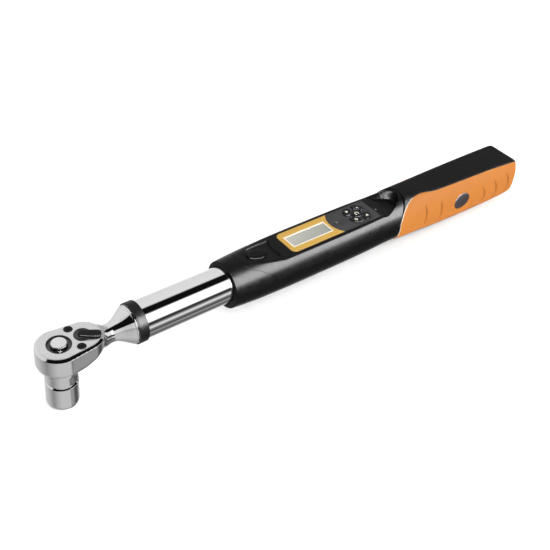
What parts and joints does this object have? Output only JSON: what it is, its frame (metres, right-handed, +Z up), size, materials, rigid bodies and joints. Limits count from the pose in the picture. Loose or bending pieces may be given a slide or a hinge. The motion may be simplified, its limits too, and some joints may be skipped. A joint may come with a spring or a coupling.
{
  "type": "electronic torque wrench",
  "caption": "Half-inch ratchet torque wrench with a hex socket, polished tube, display and key panel in a black housing, and a black grip with orange side panels.",
  "frame": {"origin": "centre of the socket's open end, on the drive axis", "axes": "+X along the tool from the drive axis to the end of the grip, +Z up from the socket's mouth towards the display, -Z the way the socket faces"},
  "size_m": [0.5282, 0.0478, 0.0722],
  "materials": {
    "chrome": "polished",
    "satin_steel": "satin",
    "dark_steel": "black oxide, slight sheen",
    "spring_steel": "drawn wire",
    "beam_steel": "machined",
    "plug_aluminium": "machined",
    "ring_black": "satin",
    "housing_black": "fine moulded texture",
    "lens_black": "gloss",
    "bezel_amber": "semi-gloss",
    "trim_cream": "satin",
    "window_clear": "clear",
    "lcd_grey": "blank display",
    "panel_grey": "matt",
    "key_black": "gloss",
    "mat_rubber": "matt",
    "board_green": "solder mask",
    "led_clear": "clear",
    "grip_black": "soft matt",
    "grip_orange": "soft matt",
    "badge_black": "satin",
    "cell_sleeve": "plain sleeve",
    "contact_metal": "nickel plated",
    "gauge_foil": "foil",
    "wire_sleeve": "plain"
  },
  "bodies": {
    "body": {"ratchet_head": "chrome", "cover_plate": "satin_steel", "cover_screws": "dark_steel", "torque_tube": "chrome", "neck_ring": "ring_black", "beam_pin": "beam_steel", "flex_beam": "beam_steel", "strain_gauges": "gauge_foil", "sensor_lead": "wire_sleeve", "rear_plug": "plug_aluminium", "spine": "beam_steel", "front_collar": "housing_black", "main_housing": "housing_black", "bottom_cover": "housing_black", "bottom_screws": "beam_steel", "indicator_lens": "lens_black", "display_bezel": "bezel_amber", "window_trim": "trim_cream", "display_window": "window_clear", "lcd_module": "lcd_grey", "control_panel": "panel_grey", "keypad_membrane": "mat_rubber", "circuit_board": "board_green", "buzzer": "lens_black", "status_leds": "led_clear", "grip_body": "grip_black", "grip_panel_left": "grip_orange", "grip_panel_right": "grip_orange", "badge_left": "badge_black", "badge_right": "badge_black", "battery_tray": "housing_black", "batteries": "cell_sleeve", "battery_contacts": "contact_metal"},
    "drive": {"drive_gear": "dark_steel", "release_spring": "spring_steel"},
    "release_button": {"quick_release_button": "chrome"},
    "detent": {"detent_ball": "spring_steel"},
    "socket": {"socket": "chrome"},
    "lever": {"reversing_lever": "dark_steel", "lever_plunger": "spring_steel", "plunger_spring": "spring_steel"},
    "pawl": {"pawl": "dark_steel"},
    "battery_door": {"battery_door": "grip_black"},
    "key_up": {"key_up": "key_black"},
    "key_down": {"key_down": "key_black"},
    "key_left": {"key_left": "key_black"},
    "key_right": {"key_right": "key_black"},
    "key_power": {"key_power": "key_black"}
  },
  "joints": [
    {"name": "drive_spin", "type": "hinge", "parent": "body", "child": "drive", "pos_m": [0, 0, 0.0496], "axis": [0, 0, 1], "continuous": true},
    {"name": "socket_pull", "type": "slide", "parent": "drive", "child": "socket", "axis": [0, 0, -1], "range_m": [0, 0.018]},
    {"name": "button_press", "type": "slide", "parent": "drive", "child": "release_button", "axis": [0, 0, -1], "range_m": [0, 0.0023], "stiffness_N_per_m": 600, "springref_m": -0.003, "deforming": ["release_spring"]},
    {"name": "detent_in", "type": "slide", "parent": "drive", "child": "detent", "axis": [-1, 0, 0], "range_m": [0, 0.0006]},
    {"name": "lever_swing", "type": "hinge", "parent": "body", "child": "lever", "pos_m": [0.0195, 0, 0.0496], "axis": [0, 0, 1], "range_deg": [0, 70]},
    {"name": "pawl_shift", "type": "hinge", "parent": "body", "child": "pawl", "pos_m": [0, 0, 0.0496], "axis": [0, 0, 1], "range_deg": [-12, 0]},
    {"name": "battery_door_off", "type": "slide", "parent": "body", "child": "battery_door", "axis": [0, 0, -1], "range_m": [0, 0.02]},
    {"name": "key_up_press", "type": "slide", "parent": "body", "child": "key_up", "axis": [0, 0, -1], "range_m": [0, 0.0008], "stiffness_N_per_m": 300, "springref_m": -0.001},
    {"name": "key_down_press", "type": "slide", "parent": "body", "child": "key_down", "axis": [0, 0, -1], "range_m": [0, 0.0008], "stiffness_N_per_m": 300, "springref_m": -0.001},
    {"name": "key_left_press", "type": "slide", "parent": "body", "child": "key_left", "axis": [0, 0, -1], "range_m": [0, 0.0008], "stiffness_N_per_m": 300, "springref_m": -0.001},
    {"name": "key_right_press", "type": "slide", "parent": "body", "child": "key_right", "axis": [0, 0, -1], "range_m": [0, 0.0008], "stiffness_N_per_m": 300, "springref_m": -0.001},
    {"name": "key_power_press", "type": "slide", "parent": "body", "child": "key_power", "axis": [0, 0, -1], "range_m": [0, 0.0008], "stiffness_N_per_m": 300, "springref_m": -0.001}
  ],
  "couplings": [
    {"joint": "detent_in", "follows": "button_press", "ratio": 0.26},
    {"joint": "pawl_shift", "follows": "lever_swing", "ratio": -0.1714}
  ]
}
